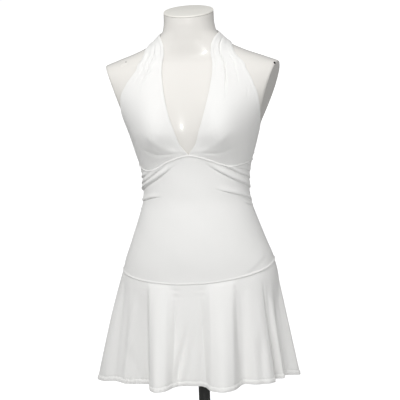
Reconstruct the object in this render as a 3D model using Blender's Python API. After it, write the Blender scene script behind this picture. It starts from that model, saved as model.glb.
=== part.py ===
"""Halter dress with a flounce, worn by a limbless dress form on a pole and a round base.

Metres, +Z up. The front of the dress faces -Y and the wearer's left is +X.
The shapes are worked out round the pole's axis and then moved by POLE_X and POLE_Y, because
the origin is on the ground below the middle of the whole.
The figure is worked out from a table of sections. Each panel of the dress is a
wall laid on the figure, and the flounce hangs from the curved hip seam.
"""

import math
from collections import namedtuple

import bmesh
import bpy
from mathutils import Matrix, Vector

# Driving dimensions

POLE_X = 0.0110             # the flounce hangs further out on one side, so the pole isn't central
POLE_Y = 0.0030

CLOTH = 0.0015              # thickness of the stretch jersey, turned double
TOP_ROLL = 0.0010           # extra thickness of the bodice at its top edge
TOP_ROLL_WIDTH = 0.008
HIP_ROLL = 0.0012           # extra thickness of the bodice where it is turned at the hip seam
HIP_ROLL_WIDTH = 0.012
LEVEL_UP_TO = 0.001         # this far above the hip seam the bodice stands off level, like the flounce
LEVEL_FADE = 0.015
STRAP_CLOTH = 0.0026        # thickness where the halter is gathered at the neck
HEM_CLOTH = 0.0024          # thickness of the turned hem
CLEAR = 0.0010              # inside of the cloth to the figure
CUP_CLEAR = 0.0020          # the same over the bust
FLOUNCE_CLEAR = 0.0022      # middle of the flounce's cloth to the figure, where it rests
SEAM_GAP = 0.0003           # between two panels at a seam
BODICE_GAP_TURN = 0.3       # the same at the bodice's side seams, as a turn
FLOUNCE_GAP_TURN = 0.1      # half of it at the flounce's side seams, as a turn
CAP_GAP = 0.0003            # between two hard pieces that touch

FORM_BOTTOM = 0.262         # flat underside of the dress form
NECK_TOP = 0.942            # height of the neck's cut at its middle
NECK_SLANT = 0.20           # rise of the neck's cut from front to back
NECK_START = 0.905          # the slant fades in above this height
CAP_THICK = 0.004
CAP_LIP = 0.0006            # height of the rounding under the cap's edge
CAP_TOP_LIP = 0.0012        # and over it
CAP_FOOT = 0.990            # the cap's outline at its underside, as a share of the neck's
CAP_CROWN = 0.975           # and at its top

ARM_CUT_X = 0.1855          # half the width across the arm cuts at ARM_CUT_TOP
ARM_CUT_TOP = 0.8236
ARM_CUT_BOTTOM = 0.690
ARM_CUT_SLOPE = 0.3346      # how fast the arm cuts lean in going down
ARM_CUT_TOE = math.radians(7)
ARM_CUT_ROUND = 0.004       # rounding of the cut's edge
ARM_CUT_FADE = 0.02         # height over which that rounding begins
SHARPEST = 1e-5             # the least rounding, which keeps the formula sound

BUST_HEIGHT = 0.694
BUST_X = 0.076
BUST_OUT = 0.034
BUST_SPREAD_X = 0.037
BUST_SPREAD_UP = 0.050
BUST_SPREAD_DOWN = 0.036
BUST_EDGE = 0.55            # towards the sides the domes fade out below this cosine of the turn
TURN_STEP = 0.4             # steps over which the surface's slope is measured
HEIGHT_STEP = 0.0015

SIDE_SEAM = 97.0            # turn of the side seams, in degrees from the front
RUCHED_END = 0.512          # the gathers at the side seams end at this height
HEM_HEIGHT = 0.150

BASE_RADIUS = 0.150
BASE_THICK = 0.008
BASE_ROUND = 0.002
SOCKET_RADIUS = 0.020
SOCKET_FOOT = 0.012         # how far the socket's foot stands out
SOCKET_FOOT_THICK = 0.004
SOCKET_FLARE = 0.010        # height above the base where the flare of the foot ends
SOCKET_TOP = 0.050
POLE_RADIUS = 0.0125
FLANGE_RADIUS = 0.040
FLANGE_THICK = 0.004
FLANGE_FLARE = 0.004
COLLAR_RADIUS = 0.020
COLLAR_LENGTH = 0.028

# The figure: half width and depths in front of and behind the widest line, whose
# distance behind the pole's axis is middle. Corner squares the section off.

Section = namedtuple("Section", "height half_width front back middle corner")
FIGURE = [
    Section(0.262, 0.1580, 0.092, 0.102, 0.004, 0.020),
    Section(0.310, 0.1665, 0.099, 0.112, 0.004, 0.020),
    Section(0.365, 0.1680, 0.105, 0.113, 0.004, 0.018),
    Section(0.400, 0.1620, 0.105, 0.107, 0.003, 0.015),
    Section(0.450, 0.1440, 0.100, 0.093, 0.000, 0.012),
    Section(0.500, 0.1260, 0.091, 0.079, -0.002, 0.012),
    Section(0.550, 0.1125, 0.083, 0.069, -0.003, 0.015),
    Section(0.600, 0.1150, 0.084, 0.071, -0.002, 0.020),
    Section(0.640, 0.1265, 0.089, 0.078, 0.001, 0.025),
    Section(0.690, 0.1405, 0.094, 0.088, 0.003, 0.030),
    Section(0.740, 0.1680, 0.092, 0.093, 0.004, 0.035),
    Section(0.780, 0.1940, 0.083, 0.085, 0.003, 0.035),
    Section(0.810, 0.2060, 0.072, 0.074, 0.001, 0.030),
    Section(0.828, 0.1950, 0.064, 0.066, -0.001, 0.020),
    Section(0.843, 0.1600, 0.058, 0.061, -0.003, 0.010),
    Section(0.858, 0.1190, 0.055, 0.058, -0.006, 0.000),
    Section(0.873, 0.0880, 0.054, 0.056, -0.009, 0.000),
    Section(0.888, 0.0700, 0.053, 0.054, -0.012, 0.000),
    Section(0.905, 0.0570, 0.053, 0.053, -0.015, 0.000),
    Section(0.925, 0.0540, 0.053, 0.054, -0.017, 0.000),
    Section(0.960, 0.0535, 0.054, 0.054, -0.018, 0.000),
]

# Seam lines, as height against the turn from the front. A level is the same on both sides.

SeamPoint = namedtuple("SeamPoint", "turn height")
UNDERBUST = [
    SeamPoint(0, 0.6430),
    SeamPoint(8, 0.6400),
    SeamPoint(16, 0.6345),
    SeamPoint(24, 0.6280),
    SeamPoint(33, 0.6185),
    SeamPoint(43, 0.6110),
    SeamPoint(53, 0.6090),
    SeamPoint(64, 0.6120),
    SeamPoint(78, 0.6185),
    SeamPoint(97, 0.6240),
]
BACK_TOP = [SeamPoint(97, 0.6370), SeamPoint(130, 0.6330), SeamPoint(180, 0.6300)]
HIP_SEAM = [
    SeamPoint(0, 0.3650),
    SeamPoint(8, 0.3652),
    SeamPoint(30, 0.3700),
    SeamPoint(60, 0.3820),
    SeamPoint(90, 0.3960),
    SeamPoint(120, 0.4050),
    SeamPoint(150, 0.4090),
    SeamPoint(172, 0.4099),
    SeamPoint(180, 0.4100),
]
HIP_SEAM_TILT = 0.005       # the hip seam sits this much higher at the wearer's left side
SEAM_LIFT = SeamPoint(57, 0.0060)   # the underbust seam is pulled up here by the gathers
SEAM_LIFT_SPREAD = 17

# One halter panel, from the underbust seam over the shoulder to the middle of the nape.
# Inner is the neckline's edge and outer the armhole's edge.

Station = namedtuple("Station", "along inner_turn inner_height outer_turn outer_height")
HALTER = [
    Station(0.00, 0.25, 0.6430, 96.7, 0.6240),
    Station(0.04, 2.6, 0.6510, 96.7, 0.6368),
    Station(0.10, 7.8, 0.6700, 92.0, 0.6630),
    Station(0.17, 10.5, 0.6920, 84.0, 0.6950),
    Station(0.24, 13.2, 0.7200, 70.5, 0.7180),
    Station(0.31, 14.2, 0.7450, 59.0, 0.7410),
    Station(0.38, 14.6, 0.7720, 49.5, 0.7680),
    Station(0.45, 14.8, 0.8000, 41.5, 0.7940),
    Station(0.52, 15.8, 0.8250, 37.2, 0.8190),
    Station(0.60, 20.5, 0.8480, 42.5, 0.8430),
    Station(0.68, 37.0, 0.8745, 61.0, 0.8620),
    Station(0.76, 63.0, 0.8915, 88.0, 0.8720),
    Station(0.84, 96.0, 0.8985, 117.0, 0.8730),
    Station(0.92, 138.0, 0.9040, 150.0, 0.8740),
    Station(1.00, 179.6, 0.9065, 179.6, 0.8750),
]
DIP_FADE = 0.30             # along the halter, where the underbust curve has faded out
BUST_END = 0.42             # along the halter, where the bust ends
STRAP_START = 0.50          # where it begins to thicken into the strap
STRAP_FADE = 0.30
HALTER_SPREAD = 0.34        # the gathers at the neck fade out below this station
GATHER_FADE = 0.45
GATHER_COUNT = 4
GATHER_HEIGHT = 0.0016
NARROW_TURN = 4.5           # the halter's outer edge at the wearer's right is drawn in by this turn
NARROW_AT = 0.55
NARROW_SPREAD = 0.08

# Gathers at the side seams. The cloth between the top of a bodice panel and RUCHED_END flows along
# lines that start evenly spaced at the side seam. Level says which line a ridge follows, 0 being
# the lowest and 1 the top edge. The lines crowd towards the top edge where crowd is below 1.
# The side is +1 at the wearer's left, and end_turn is where the ridge has died away.

Flow = namedtuple("Flow", "turn crowd")
FLOWS = [
    Flow(0, 0.26),
    Flow(25, 0.28),
    Flow(50, 0.36),
    Flow(66, 0.50),
    Flow(97, 1.00),
    Flow(130, 0.90),
    Flow(180, 0.80),
]
Gather = namedtuple("Gather", "side level end_turn rise spread")
GATHERS = [
    Gather(1, 0.13, 28, 0.0045, 0.055),
    Gather(1, 0.36, 12, 0.0055, 0.060),
    Gather(1, 0.60, 16, 0.0045, 0.055),
    Gather(1, 0.81, 62, 0.0020, 0.050),
    Gather(-1, 0.15, 30, 0.0040, 0.055),
    Gather(-1, 0.36, 13, 0.0055, 0.060),
    Gather(-1, 0.63, 32, 0.0045, 0.055),
    Gather(1, 0.16, 140, 0.0034, 0.060),
    Gather(1, 0.42, 152, 0.0042, 0.065),
    Gather(1, 0.70, 142, 0.0034, 0.060),
    Gather(-1, 0.14, 136, 0.0032, 0.060),
    Gather(-1, 0.40, 150, 0.0042, 0.065),
    Gather(-1, 0.68, 146, 0.0036, 0.060),
]
UNDERSIDE = 0.7             # a ridge is this much narrower on its lower side
SEAM_HOLD = 0.5             # its rise at the side seam, as a share
HOLD_FADE = 0.2             # shares of its length over which it rises and dies away
END_FADE = 0.6
EDGE_FADE = 0.06            # ridges fade out this close under the top edge, as a level

# The flounce at the hem. Reach is how far out of the hip seam the hem hangs, drift how far it is
# carried along the hem towards the wearer's left, and drop how much lower it hangs.

Wave = namedtuple("Wave", "turn reach drift drop")
WAVES = [
    Wave(-176, 0.058, 0.000, 0.003),
    Wave(-161, 0.028, 0.000, 0.000),
    Wave(-146, 0.060, 0.000, 0.003),
    Wave(-131, 0.026, 0.000, 0.000),
    Wave(-116, 0.056, 0.000, 0.003),
    Wave(-101, 0.038, 0.000, 0.001),
    Wave(-85, 0.068, 0.000, 0.004),
    Wave(-74, 0.056, 0.002, 0.003),
    Wave(-66, 0.038, 0.004, 0.000),
    Wave(-57, 0.037, 0.006, 0.001),
    Wave(-49, 0.020, 0.008, 0.002),
    Wave(-42, 0.012, 0.014, 0.002),
    Wave(-37, 0.035, 0.022, 0.002),
    Wave(-33, 0.064, 0.028, 0.004),
    Wave(-27, 0.075, 0.022, 0.005),
    Wave(-21, 0.066, 0.016, 0.004),
    Wave(-17, 0.045, 0.009, 0.002),
    Wave(-12, 0.022, 0.003, 0.001),
    Wave(-4, 0.021, 0.000, 0.001),
    Wave(4, 0.019, 0.000, 0.001),
    Wave(9, 0.038, -0.002, 0.002),
    Wave(13, 0.062, -0.004, 0.004),
    Wave(21, 0.076, -0.009, 0.005),
    Wave(28, 0.066, -0.013, 0.004),
    Wave(33, 0.040, -0.012, 0.002),
    Wave(37, 0.026, -0.008, 0.000),
    Wave(43, 0.038, -0.003, 0.001),
    Wave(50, 0.040, 0.000, 0.002),
    Wave(57, 0.034, 0.000, 0.002),
    Wave(63, 0.014, 0.000, 0.000),
    Wave(70, 0.026, 0.000, 0.000),
    Wave(78, 0.010, 0.000, 0.000),
    Wave(84, 0.024, 0.000, 0.000),
    Wave(92, 0.048, 0.000, 0.003),
    Wave(111, 0.026, 0.000, 0.000),
    Wave(127, 0.054, 0.000, 0.003),
    Wave(143, 0.026, 0.000, 0.000),
    Wave(159, 0.058, 0.000, 0.003),
    Wave(171, 0.030, 0.000, 0.000),
    Wave(184, 0.058, 0.000, 0.003),
]
SKIRT_SEAM_TURN = 95.0      # the flounce's side seams lie on these turns
STEPS_BETWEEN_WAVES = 2
CREST_POWER = 0.90          # crests leave the seam early
TROUGH_POWER = 1.20         # troughs stay close to the figure for longer
TROUGH_REACH = 0.022        # up to this reach a wave counts as a trough
POWER_FADE = 0.040
REST_BLEND = 0.004          # rounding between the hanging cloth and the cloth that rests
REST_FADE = 0.1
START_FADE = 0.03           # share of the flounce's height over which it leaves the seam
HEM_SHARE = 0.90            # the turned hem begins here
HEM_FADE = 0.05
LEVEL_SHARE = 0.01          # above this share the flounce's wall is level, like the bodice's edge
SHARE_STEP = 0.02           # steps over which the flounce's slope is measured
FLOUNCE_TURN_STEP = 0.35

# How finely each piece is divided

FORM_COLUMNS = 56
FORM_ROWS = (
    0.262, 0.286, 0.312, 0.338, 0.362, 0.386, 0.412, 0.440, 0.468, 0.494, 0.516, 0.534, 0.550,
    0.566, 0.584, 0.604, 0.624, 0.643, 0.661, 0.678, 0.695, 0.712, 0.730, 0.749, 0.768, 0.786,
    0.801, 0.813, 0.824, 0.833, 0.841, 0.849, 0.857, 0.864, 0.871, 0.878, 0.885, 0.892, 0.899,
    0.907, 0.918, 0.930, 0.942,
)
HALF_COLUMNS = 13
BACK_COLUMNS = 24
RUCHED_ROWS = 21
BACK_RUCHED_ROWS = 14
LOWER_SHARES = (0.22, 0.44, 0.66, 0.85, 1.0)
HALTER_ROWS = (
    0.0, 0.035, 0.07, 0.105, 0.14, 0.175, 0.21, 0.245, 0.28, 0.32, 0.36, 0.41, 0.46, 0.51, 0.56,
    0.60, 0.64, 0.67, 0.70, 0.73, 0.76, 0.79, 0.82, 0.85, 0.88, 0.90, 0.92, 0.94, 0.96, 0.98, 1.0,
)
FLOUNCE_SHARES = (0.0, 0.06, 0.18, 0.36, 0.58, 0.78, 0.945, 1.0)
ROUND_SIDES = 40


# Reading a table

def steps(rows, column):
    """Knots, values and slopes of a table's column, for a curve with no overshoot."""
    xs = [row[0] for row in rows]
    ys = [getattr(row, column) for row in rows]
    rises = [(ys[i + 1] - ys[i]) / (xs[i + 1] - xs[i]) for i in range(len(xs) - 1)]
    slopes = [rises[0]]
    for before, after in zip(rises, rises[1:]):
        slopes.append(2 * before * after / (before + after) if before * after > 0 else 0.0)
    slopes.append(rises[-1])
    return xs, ys, slopes


CURVES = {}


def read(rows, column, x):
    """The smooth value of a table's column at x, held at the table's two ends."""
    key = (id(rows), column)
    if key not in CURVES:
        CURVES[key] = steps(rows, column)
    xs, ys, slopes = CURVES[key]
    x = min(max(x, xs[0]), xs[-1])
    i = max(k for k in range(len(xs) - 1) if xs[k] <= x)
    width = xs[i + 1] - xs[i]
    s = (x - xs[i]) / width
    return (
        ys[i] * (1 + 2 * s) * (1 - s) ** 2
        + ys[i + 1] * s * s * (3 - 2 * s)
        + width * slopes[i] * s * (1 - s) ** 2
        + width * slopes[i + 1] * s * s * (s - 1)
    )


def ease(x):
    """0 below 0, 1 above 1, and a smooth step between."""
    x = min(max(x, 0.0), 1.0)
    return x * x * (3 - 2 * x)


def mix(a, b, share):
    return a + (b - a) * share


def bell(x, spread):
    """1 at 0, falling away smoothly on both sides."""
    return math.exp(-0.5 * (x / spread) ** 2)


# The figure's surface

def arm_cut_limit(y, height):
    """How far out the side of the figure may reach, because of the flat arm cuts."""
    level = ARM_CUT_X * math.cos(ARM_CUT_TOE) + ARM_CUT_SLOPE * (height - ARM_CUT_TOP)
    return (level + y * math.sin(ARM_CUT_TOE)) / math.cos(ARM_CUT_TOE)


def soft_least(a, b, blend):
    """The smaller of a and b, rounded off where they cross."""
    over = max(blend - abs(a - b), 0.0)
    return min(a, b) - over * over / (4 * blend)


def soft_most(a, b, blend):
    """The larger of a and b, rounded off where they cross."""
    return -soft_least(-a, -b, blend)


def bust_push(x, height):
    """How far the two domes push the front surface forwards."""
    spread = BUST_SPREAD_UP if height > BUST_HEIGHT else BUST_SPREAD_DOWN
    across = bell(x - BUST_X, BUST_SPREAD_X) + bell(x + BUST_X, BUST_SPREAD_X)
    return BUST_OUT * bell(height - BUST_HEIGHT, spread) * across


def figure_point(turn, height):
    """A point of the figure's surface. The turn is in degrees from the front towards +X."""
    angle = math.radians(turn)
    middle = read(FIGURE, "middle", height)
    square = 1 + read(FIGURE, "corner", height) * math.sin(2 * angle) ** 2
    depth = read(FIGURE, "front" if math.cos(angle) > 0 else "back", height)
    x = read(FIGURE, "half_width", height) * square * math.sin(angle)
    y = middle - depth * square * math.cos(angle)
    if height > ARM_CUT_BOTTOM:
        blend = ARM_CUT_ROUND * ease((height - ARM_CUT_BOTTOM) / ARM_CUT_FADE) + SHARPEST
        x = math.copysign(soft_least(abs(x), arm_cut_limit(y, height), blend), x)
    y -= bust_push(x, height) * ease(math.cos(angle) / BUST_EDGE)
    slant = NECK_SLANT * ease((height - NECK_START) / (NECK_TOP - NECK_START))
    return Vector((x, y, height + slant * (y - middle)))


def figure_normal(turn, height):
    """The outward normal of the figure's surface."""
    after, before = turn + TURN_STEP, turn - TURN_STEP
    over, under = height + HEIGHT_STEP, height - HEIGHT_STEP
    across = figure_point(after, height) - figure_point(before, height)
    up = figure_point(turn, over) - figure_point(turn, under)
    return across.cross(up).normalized()


def off_figure(turn, height, out, tilt=1.0):
    """A point off the figure. With a tilt of 0 it is moved out level."""
    normal = figure_normal(turn, height)
    normal.z *= tilt
    return figure_point(turn, height) + normal.normalized() * out


# Seam lines and folds

def mirrored(turn):
    """The turn on the +X side that is level with this one."""
    return abs((turn + 180) % 360 - 180)


def hip_seam_height(turn):
    level = read(HIP_SEAM, "height", mirrored(turn))
    return level + HIP_SEAM_TILT * math.sin(math.radians(turn))


def underbust_height(turn):
    lift = SEAM_LIFT.height * bell(turn - SEAM_LIFT.turn, SEAM_LIFT_SPREAD)
    return read(UNDERBUST, "height", mirrored(turn)) + lift


def top_edge(turn):
    """Height of the top edge of the bodice: the underbust seam in front, the open edge behind."""
    if mirrored(turn) < SIDE_SEAM:
        return underbust_height(turn) - SEAM_GAP / 2
    return read(BACK_TOP, "height", mirrored(turn))


def flow_height(turn, level):
    """Height of the line that the gathered cloth follows at this level."""
    crowd = read(FLOWS, "crowd", mirrored(turn))
    return mix(RUCHED_END, top_edge(turn), level ** crowd)


def gather_rise(turn, level):
    """How far the gathers at the side seams lift the cloth off the figure."""
    total = 0.0
    side = 1 if math.sin(math.radians(turn)) > 0 else -1
    for fold in GATHERS:
        share = (mirrored(turn) - SIDE_SEAM) / (fold.end_turn - SIDE_SEAM)
        if fold.side != side or not 0 <= share <= 1:
            continue
        away = level - fold.level
        spread = fold.spread if away > 0 else UNDERSIDE * fold.spread
        held = mix(SEAM_HOLD, 1.0, ease(share / HOLD_FADE))
        fade = held * ease((1 - share) / END_FADE)
        total += fold.rise * fade * bell(away, spread)
    return total


def seam_roll(distance, rise, width):
    """The small roll that the turned seam allowance makes along a seam."""
    return rise * (1 - ease(distance / width))


# Walls of cloth

def wall(name, grid, material):
    """A closed wall from rows of (inner point, outer point) pairs."""
    rows, columns = len(grid), len(grid[0])
    mesh = bpy.data.meshes.new(name)
    bm = bmesh.new()
    inner = [[bm.verts.new(pair[0]) for pair in row] for row in grid]
    outer = [[bm.verts.new(pair[1]) for pair in row] for row in grid]

    def patch(a, b, c, d):
        bm.faces.new((a, b, c))
        bm.faces.new((a, c, d))

    for i in range(rows - 1):
        for j in range(columns - 1):
            patch(outer[i][j], outer[i + 1][j], outer[i + 1][j + 1], outer[i][j + 1])
            patch(inner[i][j], inner[i][j + 1], inner[i + 1][j + 1], inner[i + 1][j])
    for i in range(rows - 1):
        patch(inner[i][0], inner[i + 1][0], outer[i + 1][0], outer[i][0])
        patch(outer[i][-1], outer[i + 1][-1], inner[i + 1][-1], inner[i][-1])
    for j in range(columns - 1):
        patch(inner[0][j + 1], inner[0][j], outer[0][j], outer[0][j + 1])
        patch(inner[-1][j], inner[-1][j + 1], outer[-1][j + 1], outer[-1][j])
    finish(bm, mesh)
    return place(name, mesh, material)


def finish(bm, mesh):
    """Writes the shape to its mesh with every face pointing out."""
    bmesh.ops.recalc_face_normals(bm, faces=bm.faces)
    if bm.calc_volume(signed=True) < 0:
        bmesh.ops.reverse_faces(bm, faces=bm.faces)
    bm.to_mesh(mesh)
    bm.free()
    mesh.shade_smooth()
    mesh.set_sharp_from_angle(angle=math.radians(50))


def place(name, mesh, material):
    mesh.transform(Matrix.Translation((POLE_X, POLE_Y, 0)))
    piece = bpy.data.objects.new(name, mesh)
    mesh.materials.append(material)
    bpy.context.scene.collection.objects.link(piece)
    return piece


def finish_colour(name, colour, roughness, metallic=0.0):
    material = bpy.data.materials.new(name)
    material.use_nodes = True
    shader = material.node_tree.nodes["Principled BSDF"]
    shader.inputs["Base Color"].default_value = (*colour, 1.0)
    shader.inputs["Roughness"].default_value = roughness
    shader.inputs["Metallic"].default_value = metallic
    material.diffuse_color = (*colour, 1.0)
    return material


# Dress panels

def bodice_pair(turn, height, rise):
    """Inner and outer point of a bodice panel, with the rolls at its two seams."""
    from_hip = height - hip_seam_height(turn)
    above = seam_roll(abs(top_edge(turn) - height), TOP_ROLL, TOP_ROLL_WIDTH)
    below = seam_roll(from_hip, HIP_ROLL, HIP_ROLL_WIDTH)
    out = CLEAR + rise
    tilt = ease((from_hip - LEVEL_UP_TO) / LEVEL_FADE)
    return (
        off_figure(turn, height, out, tilt),
        off_figure(turn, height, out + CLOTH + above + below, tilt),
    )


def bodice_column(turn, ruched_rows):
    """One line of a bodice panel from its top edge to the hip seam."""
    pairs = []
    for k in range(ruched_rows + 1):
        level = 1 - k / ruched_rows
        rise = gather_rise(turn, level) * ease((1 - level) / EDGE_FADE)
        pairs.append(bodice_pair(turn, flow_height(turn, level), rise))
    bottom = hip_seam_height(turn) + SEAM_GAP / 2
    for share in LOWER_SHARES:
        rise = gather_rise(turn, 0.0) * (1 - ease(share / LOWER_SHARES[0]))
        pairs.append(bodice_pair(turn, mix(RUCHED_END, bottom, share), rise))
    return pairs


def columns_to_grid(columns):
    return [[column[i] for column in columns] for i in range(len(columns[0]))]


def front_bodice(material):
    edge = SIDE_SEAM - BODICE_GAP_TURN
    columns = []
    for k in range(-HALF_COLUMNS, HALF_COLUMNS + 1):
        columns.append(bodice_column(edge * k / HALF_COLUMNS, RUCHED_ROWS))
    return wall("bodice_front", columns_to_grid(columns), material)


def back_bodice(material):
    start = SIDE_SEAM
    columns = []
    for k in range(BACK_COLUMNS + 1):
        columns.append(bodice_column(mix(start, 360 - start, k / BACK_COLUMNS), BACK_RUCHED_ROWS))
    return wall("bodice_back", columns_to_grid(columns), material)


def neck_gathers(along, across):
    """Ridges that run along the halter, deepest at the neck and gone over the bust."""
    depth = GATHER_HEIGHT * ease((along - HALTER_SPREAD) / GATHER_FADE)
    return depth * (0.5 - 0.5 * math.cos(2 * math.pi * GATHER_COUNT * across))


def halter_edges(along, side):
    """Turn and height of the halter's two edges at a station."""
    inner = read(HALTER, "inner_turn", along), read(HALTER, "inner_height", along)
    outer = read(HALTER, "outer_turn", along), read(HALTER, "outer_height", along)
    narrow = NARROW_TURN * bell(along - NARROW_AT, NARROW_SPREAD) if side < 0 else 0.0
    return inner, (outer[0] - narrow, outer[1])


def halter_pair(along, across, side):
    """Inner and outer point of the halter, across being 0 at the neckline and 1 at the armhole."""
    inner, outer = halter_edges(along, side)
    turn = mix(inner[0], outer[0], across)
    dip = 1 - ease(along / DIP_FADE)
    straight = mix(HALTER[0].inner_height, HALTER[0].outer_height, across)
    height = mix(inner[1], outer[1], across) + SEAM_GAP / 2
    height += dip * (underbust_height(side * turn) - straight)
    over_bust = math.sin(math.pi * min(along / BUST_END, 1.0)) * math.sin(math.pi * across)
    thick = mix(CLOTH, STRAP_CLOTH, ease((along - STRAP_START) / STRAP_FADE))
    out = mix(CLEAR, CUP_CLEAR, over_bust) + neck_gathers(along, across)
    return (
        off_figure(side * turn, height, out),
        off_figure(side * turn, height, out + thick),
    )


def halter_panel(name, side, material):
    grid = []
    for along in HALTER_ROWS:
        shares = (k / HALF_COLUMNS for k in range(HALF_COLUMNS + 1))
        grid.append([halter_pair(along, across, side) for across in shares])
    return wall(name, grid, material)


# Flounce

def wave_at(turn, column):
    """The value of a column of WAVES at this turn of the hip seam."""
    first = WAVES[0].turn
    return read(WAVES, column, (turn - first) % 360 + first)


def flounce_point(turn, share):
    """The middle of the flounce's cloth, share being 0 at the hip seam and 1 at the hem."""
    seam = hip_seam_height(turn) - SEAM_GAP / 2
    start = off_figure(turn, seam, CLEAR + CLOTH / 2, 0.0)
    height = mix(seam, HEM_HEIGHT - wave_at(turn, "drop"), share)
    level = figure_normal(turn, seam)
    out = Vector((level.x, level.y, 0)).normalized()
    along = Vector((-out.y, out.x, 0))
    reach = wave_at(turn, "reach")
    power = mix(TROUGH_POWER, CREST_POWER, ease((reach - TROUGH_REACH) / POWER_FADE))
    figure = (figure_point(turn, max(height, FORM_BOTTOM)) - start).dot(out) + FLOUNCE_CLEAR
    blend = REST_BLEND * ease(share / REST_FADE) + SHARPEST
    free = soft_most(reach * share ** power, figure, blend)
    carried = along * wave_at(turn, "drift") * share
    point = start + out * free * ease(share / START_FADE) + carried
    point.z = height
    return point


def flounce_pair(turn, share):
    low, high = max(share - SHARE_STEP, 0.0), min(share + SHARE_STEP, 1.0)
    after, before = turn + FLOUNCE_TURN_STEP, turn - FLOUNCE_TURN_STEP
    across = flounce_point(after, share) - flounce_point(before, share)
    up = flounce_point(turn, low) - flounce_point(turn, high)
    normal = across.cross(up).normalized()
    middle = flounce_point(turn, share)
    half = mix(CLOTH, HEM_CLOTH, ease((share - HEM_SHARE) / HEM_FADE)) / 2
    if share < LEVEL_SHARE:
        normal = Vector((normal.x, normal.y, 0)).normalized()
    return middle - normal * half, middle + normal * half


def flounce_turns(start, end):
    """Turns of the flounce's columns, closest together where the cloth turns over a wave."""
    marks = sorted(
        wave.turn + lap
        for wave in WAVES[:-1]
        for lap in (-360, 0, 360)
        if start + 1 < wave.turn + lap < end - 1
    )
    marks = [start, *marks, end]
    turns = [start]
    for before, after in zip(marks, marks[1:]):
        for k in range(1, STEPS_BETWEEN_WAVES + 1):
            turns.append(mix(before, after, k / STEPS_BETWEEN_WAVES))
    return turns


def flounce(name, start, end, material):
    columns = [
        [flounce_pair(turn, share) for share in FLOUNCE_SHARES]
        for turn in flounce_turns(start, end)
    ]
    return wall(name, columns_to_grid(columns), material)


# Dress form and stand

def ring(bm, points):
    return [bm.verts.new(point) for point in points]


def bridge(bm, lower, upper):
    count = len(lower)
    for k in range(count):
        after = (k + 1) % count
        bm.faces.new((lower[k], lower[after], upper[after], upper[k]))


def stack(name, rings, material):
    """A closed solid through a stack of rings, with flat faces at both ends."""
    bm = bmesh.new()
    loops = [ring(bm, points) for points in rings]
    for lower, upper in zip(loops, loops[1:]):
        bridge(bm, lower, upper)
    bm.faces.new(reversed(loops[0]))
    bm.faces.new(loops[-1])
    mesh = bpy.data.meshes.new(name)
    finish(bm, mesh)
    return place(name, mesh, material)


def figure_ring(height, scale=1.0, lift=0.0):
    middle = read(FIGURE, "middle", height)
    points = []
    for k in range(FORM_COLUMNS):
        point = figure_point(360 * k / FORM_COLUMNS, height)
        centre = Vector((0, middle, height))
        points.append(centre + (point - centre) * scale + Vector((0, 0, lift)))
    return points


def dress_form(material):
    return stack("form_torso", [figure_ring(height) for height in FORM_ROWS], material)


def neck_cap(material):
    rings = [
        figure_ring(NECK_TOP, CAP_FOOT, CAP_GAP),
        figure_ring(NECK_TOP, 1.0, CAP_GAP + CAP_LIP),
        figure_ring(NECK_TOP, 1.0, CAP_THICK - CAP_TOP_LIP),
        figure_ring(NECK_TOP, CAP_CROWN, CAP_THICK),
    ]
    return stack("form_neck_cap", rings, material)


def circle(radius, height):
    turns = (2 * math.pi * k / ROUND_SIDES for k in range(ROUND_SIDES))
    return [(radius * math.cos(a), radius * math.sin(a), height) for a in turns]


def turned(name, profile, material):
    """A solid of revolution round the pole's axis, from (radius, height) pairs going up."""
    return stack(name, [circle(radius, height) for radius, height in profile], material)


def turned_ring(name, profile, material):
    """A ring round the pole's axis, from a closed profile of (radius, height) pairs."""
    bm = bmesh.new()
    loops = [ring(bm, circle(radius, height)) for radius, height in profile]
    for lower, upper in zip(loops, loops[1:] + loops[:1]):
        bridge(bm, lower, upper)
    mesh = bpy.data.meshes.new(name)
    finish(bm, mesh)
    return place(name, mesh, material)


def base(material):
    profile = [
        (BASE_RADIUS - BASE_ROUND, 0.0),
        (BASE_RADIUS, BASE_ROUND),
        (BASE_RADIUS, BASE_THICK - BASE_ROUND),
        (BASE_RADIUS - BASE_ROUND, BASE_THICK),
    ]
    turned("stand_base", profile, material)


def socket(bore, material):
    foot = BASE_THICK + CAP_GAP
    profile = [
        (bore, foot),
        (SOCKET_RADIUS + SOCKET_FOOT, foot),
        (SOCKET_RADIUS + SOCKET_FOOT, BASE_THICK + SOCKET_FOOT_THICK),
        (SOCKET_RADIUS, BASE_THICK + SOCKET_FLARE),
        (SOCKET_RADIUS, SOCKET_TOP),
        (bore, SOCKET_TOP),
    ]
    turned_ring("stand_socket", profile, material)


def collar(bore, top, material):
    profile = [
        (bore, top - COLLAR_LENGTH),
        (COLLAR_RADIUS, top - COLLAR_LENGTH),
        (COLLAR_RADIUS, top - FLANGE_THICK - FLANGE_FLARE),
        (FLANGE_RADIUS, top - FLANGE_THICK),
        (FLANGE_RADIUS, top),
        (bore, top),
    ]
    turned_ring("stand_collar", profile, material)


def stand(material):
    bore = POLE_RADIUS + CAP_GAP
    top = FORM_BOTTOM - CAP_GAP
    base(material)
    socket(bore, material)
    turned("stand_pole", [(POLE_RADIUS, BASE_THICK + CAP_GAP), (POLE_RADIUS, top)], material)
    collar(bore, top, material)


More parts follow.
